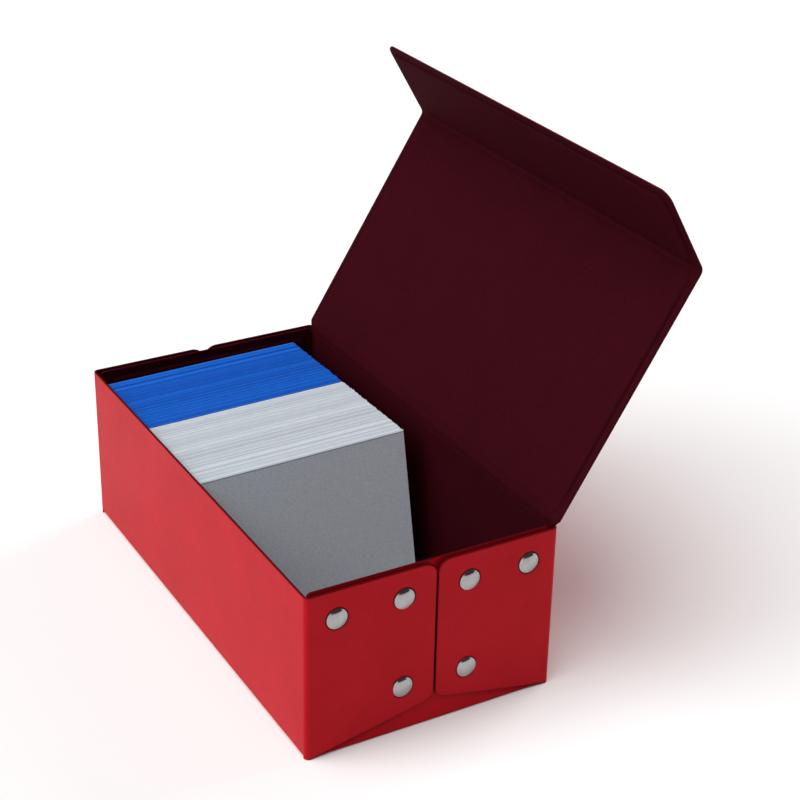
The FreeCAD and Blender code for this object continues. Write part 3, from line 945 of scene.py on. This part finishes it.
# The cap: its height over the leather, the radii of its dome and its rim, the steps in which
# each is drawn, and the radius of the flat at its very middle.
CAP_HEIGHT = 1.0
CAP_DOME = 9.0
CAP_ROUND = 0.28
DOME_STEPS = 10
RIM_STEPS = 6
CAP_FLAT = 0.2


def cap_profile():
    """A shallow spherical dome with a small rounded rim, from its middle outwards."""
    edge = CAP_RADIUS - CAP_ROUND
    tilt = math.asin(edge / CAP_DOME)
    profile = [(CAP_FLAT, -CAP_HEIGHT)]
    for index in range(1, DOME_STEPS + 1):
        angle = tilt * index / DOME_STEPS
        fall = CAP_DOME * (1 - math.cos(angle))
        profile.append((CAP_DOME * math.sin(angle), fall - CAP_HEIGHT))
    rim_depth = profile[-1][1]
    for index in range(1, RIM_STEPS + 1):
        turn = tilt + (QUARTER - tilt) * index / RIM_STEPS
        rise = CAP_ROUND * (math.cos(tilt) - math.cos(turn))
        reach = edge + CAP_ROUND * (math.sin(turn) - math.sin(tilt)) / (1 - math.sin(tilt))
        profile.append((reach, rim_depth + rise))
    under = ((CAP_RADIUS, -0.02), (CAP_RADIUS - 0.3, 0.1), (CAP_RADIUS - 0.5, 0.12), (CAP_FLAT, 0.12))
    return (*profile, *under)


# Sections of (radius, depth) from the leather's face; depth counts inwards.
CAP_PROFILE = cap_profile()
# A thin ring round each cap's edge, coloured dark: painted shade for the shadow gap between cap and leather.
SEAT_PROFILE = (
    (CAP_RADIUS - 0.1, 0.1),
    (CAP_RADIUS - 0.1, -0.07),
    (CAP_RADIUS + 0.3, -0.07),
    (CAP_RADIUS + 0.42, 0.1),
)
POST_PROFILE = (
    (0.4, 2.1), (1.6, 2.1), (2.6, 2.04), (2.95, 1.9), (3.0, 1.75), (2.95, 1.66), (1.2, 1.66),
    (1.2, 0.0), (0.4, 0.0),
)  # fmt: skip
STUD_PROFILE = (
    (0.4, 0.02), (3.3, 0.02), (3.4, -0.06), (3.36, -0.2), (3.2, -0.25), (1.9, -0.27), (1.7, -0.4),
    (1.7, -1.2), (1.8, -1.38), (2.04, -1.5), (2.1, -1.75), (2.05, -2.05), (1.85, -2.25),
    (1.5, -2.3), (0.9, -2.28), (0.4, -2.2),
)  # fmt: skip
SOCKET_PROFILE = (
    (2.45, 0.02), (2.9, 0.02), (2.9, 1.72), (3.8, 1.72), (3.98, 1.82), (3.98, 1.93), (3.85, 2.02),
    (3.5, 2.05), (2.75, 2.05), (2.5, 1.98), (2.45, 1.85),
)  # fmt: skip

for flap, side in FLAP_SIDES.items():
    caps = f"{flap}_snap_caps"
    sockets = f"{flap}_snap_sockets"
    places = snaps(side)
    turned(f"{caps}_domes", caps, places, CAP_PROFILE, flap, nickel)
    turned(f"{sockets}_rings", sockets, places, SOCKET_PROFILE, flap, dull_nickel, True)
    # Painted shade: a dark ring round each cap.
    turned(f"{caps}_seats", f"{flap}_cover", places, SEAT_PROFILE, flap, seat_shade, True)
for end in ("right", "left"):
    wall = f"{end}_end_wall"
    both = snaps(1) + snaps(-1)
    posts = f"{wall}_snap_posts"
    studs = f"{wall}_snap_studs"
    turned(f"{posts}_rivets", posts, both, POST_PROFILE, wall, dull_nickel)
    turned(f"{studs}_heads", studs, both, STUD_PROFILE, wall, dull_nickel)

# ---------------------------------------------------------------- hidden pieces of the design

for node, owner in frame["nodes"].items():
    finish = None
    if node.endswith("_board"):
        finish = fibreboard
    elif node.endswith("_magnets"):
        finish = magnet_metal
    if finish:
        owner.data.materials.clear()
        owner.data.materials.append(finish)

# ---------------------------------------------------------------- sleeved cards

# The stacks stand on the lining of the floor and lean towards the left end.  Their feet run
# from FAR_FOOT; the sleeves go from FAR_CARD_LENGTH there to NEAR_CARD_LENGTH at the near end,
# a difference chosen for the looks.
CARD_PITCH = 0.5
CARD_HEIGHT = 65.7
CARD_START = -49.5
CARD_FLOOR = 1.8
LEAN = math.radians(12.4)
SKEW = math.radians(1.4)
FAR_FOOT = -76.0
BLUE_THICKNESS = 44.4
WHITE_THICKNESS = 50.4
STACK_GAP = 0.3
WHITE_FOOT = FAR_FOOT + BLUE_THICKNESS + STACK_GAP
NEAR_FOOT = WHITE_FOOT + WHITE_THICKNESS
FAR_CARD_LENGTH = 88.3
NEAR_CARD_LENGTH = 91.0

# One sleeve: the shares of the pitch between which it lies, the height over which its top is
# pinched shut, the grid lines near its edges with the row of a darker line among them, and its spans.
SLEEVE_SIDES = (0.04, 0.96)
PINCH_HEIGHT = 0.5
PINCH_SHARE = 0.5
EDGE_LINES = (0.0, 0.2, 0.5, 0.8, 1.4)
DARK_LINE = EDGE_LINES[2]
UP_SPANS = 6
ACROSS_SPANS = 12

# How unevenly the sleeves stand: spreads of their drop and slide, the share that are further
# out and by how much, and a slow wave across each one.
DROP_SPREAD = 0.05
FAR_DROP_CHANCE = 0.15
FAR_DROP_SPREAD = 0.14
SLIDE_SPREAD = 0.16
FAR_SLIDE_CHANCE = 0.12
FAR_SLIDE_SPREAD = 0.35
WAVE_HEIGHT = 0.06
WAVE_TURN = 0.09
WAVE_SHIFT = 0.05


def shares(length, count):
    """Places along a card's side, dense near both ends."""
    inner = length - 2 * EDGE_LINES[-1]
    places = list(EDGE_LINES)
    places += [EDGE_LINES[-1] + inner * index / count for index in range(1, count)]
    return places + [length - line for line in reversed(EDGE_LINES)]


def card_stack(colour, foot_far, thickness, material):
    """A leaning stack of separate sleeves, each a thin slab pinched at its top."""
    count = round(thickness / CARD_PITCH)
    pitch = thickness / count
    points = []
    faces = []
    tones = []
    fronts = []
    lines = []
    for card in range(count):
        first = len(points)
        foot = foot_far + pitch * card
        drop = rng.gauss(0, DROP_SPREAD)
        if rng.random() < FAR_DROP_CHANCE:
            drop += rng.gauss(0, FAR_DROP_SPREAD)
        slide = rng.gauss(0, SLIDE_SPREAD)
        if rng.random() < FAR_SLIDE_CHANCE:
            slide += rng.gauss(0, FAR_SLIDE_SPREAD)
        near = (foot - FAR_FOOT) / (NEAR_FOOT - FAR_FOOT)
        length = FAR_CARD_LENGTH + (NEAR_CARD_LENGTH - FAR_CARD_LENGTH) * near
        ups = shares(CARD_HEIGHT, UP_SPANS)
        acrosses = shares(length, ACROSS_SPANS)
        tone = rng.random()
        for side in SLEEVE_SIDES:
            is_front = side == SLEEVE_SIDES[1] and card == count - 1
            for up in ups:
                closing = smooth_step(up, CARD_HEIGHT - PINCH_HEIGHT, CARD_HEIGHT)
                place = side + (0.5 - side) * closing * PINCH_SHARE
                # The row of the darker line a little below the top.
                on_dark_line = math.isclose(CARD_HEIGHT - up, DARK_LINE, abs_tol=0.01)
                for across in acrosses:
                    wave = WAVE_HEIGHT * math.sin(across * WAVE_TURN + card * WAVE_SHIFT)
                    x = foot + pitch * place - up * math.sin(LEAN) - across * math.tan(SKEW) + wave
                    z = CARD_FLOOR + up * math.cos(LEAN) + drop * up / CARD_HEIGHT
                    points.append(Vector((x, CARD_START + across + slide, z)))
                    tones.append(tone)
                    fronts.append(float(is_front))
                    lines.append(float(on_dark_line))
        rows = len(ups)
        columns = len(acrosses)
        size = rows * columns
        faces += grid_faces(rows, columns, first) + grid_faces(rows, columns, first + size, True)
        loop = border_loop(rows, columns)
        for index, edge in enumerate(loop):
            after = loop[(index + 1) % len(loop)]
            faces.append((first + after, first + edge, first + size + edge, first + size + after))
    scalars = {"tone": tones, "front": fronts, "line": lines}
    node = f"{colour}_sleeved_cards"
    made = make_piece(f"{colour}_card_sleeves", points, faces, [material], None, scalars)
    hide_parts(node)
    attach(made, BODY_OF[node])


card_stack("blue", FAR_FOOT, BLUE_THICKNESS, blue_film)
card_stack("white", WHITE_FOOT, WHITE_THICKNESS, white_film)

# ---------------------------------------------------------------- floor, light and camera

FLOOR_REACH = 40.0
SQUARE = ((-1, -1), (1, -1), (1, 1), (-1, 1))
floor_corners = [(x * FLOOR_REACH, y * FLOOR_REACH, 0) for x, y in SQUARE]
floor_mesh = bpy.data.meshes.new("floor")
floor_mesh.from_pydata(floor_corners, [], [(0, 1, 2, 3)])
floor = new_object("floor", floor_mesh)
pale, _, pale_shader = new_material("pale_floor")
pale_shader.inputs["Base Color"].default_value = (0.88, 0.88, 0.88, 1)
pale_shader.inputs["Roughness"].default_value = 0.9
pale_shader.inputs["Specular IOR Level"].default_value = 0.1
floor_mesh.materials.append(pale)

world = bpy.data.worlds.new("studio")
bpy.context.scene.world = world
world.use_nodes = True
world.node_tree.nodes["Background"].inputs["Color"].default_value = (1, 1, 1, 1)
world.node_tree.nodes["Background"].inputs["Strength"].default_value = 0.07


def area_light(name, place, target, size, power):
    """A square soft light that faces a target; places and size in metres, power in watts."""
    data = bpy.data.lights.new(name, "AREA")
    data.shape = "SQUARE"
    data.size = size
    data.energy = power
    made = new_object(name, data)
    made.location = place
    direction = Vector(target) - Vector(place)
    made.rotation_mode = "QUATERNION"
    made.rotation_quaternion = direction.to_track_quat("-Z", "Y")


MIDDLE = (0.0, 0.0, 0.05)
area_light("key", (-0.35, -1.3, 0.75), MIDDLE, size=0.9, power=9.0)
area_light("back_fill", (-0.3, 1.8, 0.9), MIDDLE, size=1.4, power=20.0)
area_light("card_fill", (0.67, 0.0, 1.5), MIDDLE, size=0.5, power=1.6)
ceiling_data = bpy.data.lights.new("ceiling", "SUN")
ceiling_data.energy = 2.62
ceiling_data.angle = math.radians(60)
ceiling = new_object("ceiling", ceiling_data)
ceiling.rotation_euler = (math.radians(25), 0, 0)

# The camera's direction from the box, its roll and its place.
AZIMUTH = math.radians(60.096)
ELEVATION = math.radians(27.017)
ROLL = math.radians(1.242)
CAMERA_PLACE = (0.5811, -0.2930, 0.4203)
camera_data = bpy.data.cameras.new("camera")
camera_data.sensor_width = 36.0
camera_data.lens = 84.03
camera_data.clip_start = 0.01
camera = new_object("camera", camera_data)
bpy.context.scene.camera = camera
backward = Vector(
    (
        math.sin(AZIMUTH) * math.cos(ELEVATION),
        -math.cos(AZIMUTH) * math.cos(ELEVATION),
        math.sin(ELEVATION),
    )
)
rightward = Z.cross(backward).normalized()
upward = backward.cross(rightward)
turned_right = rightward * math.cos(ROLL) + upward * math.sin(ROLL)
turned_up = upward * math.cos(ROLL) - rightward * math.sin(ROLL)
matrix = Matrix((turned_right, turned_up, backward)).transposed().to_4x4()
matrix.translation = CAMERA_PLACE
camera.matrix_world = matrix

bpy.context.scene.view_settings.view_transform = "Standard"
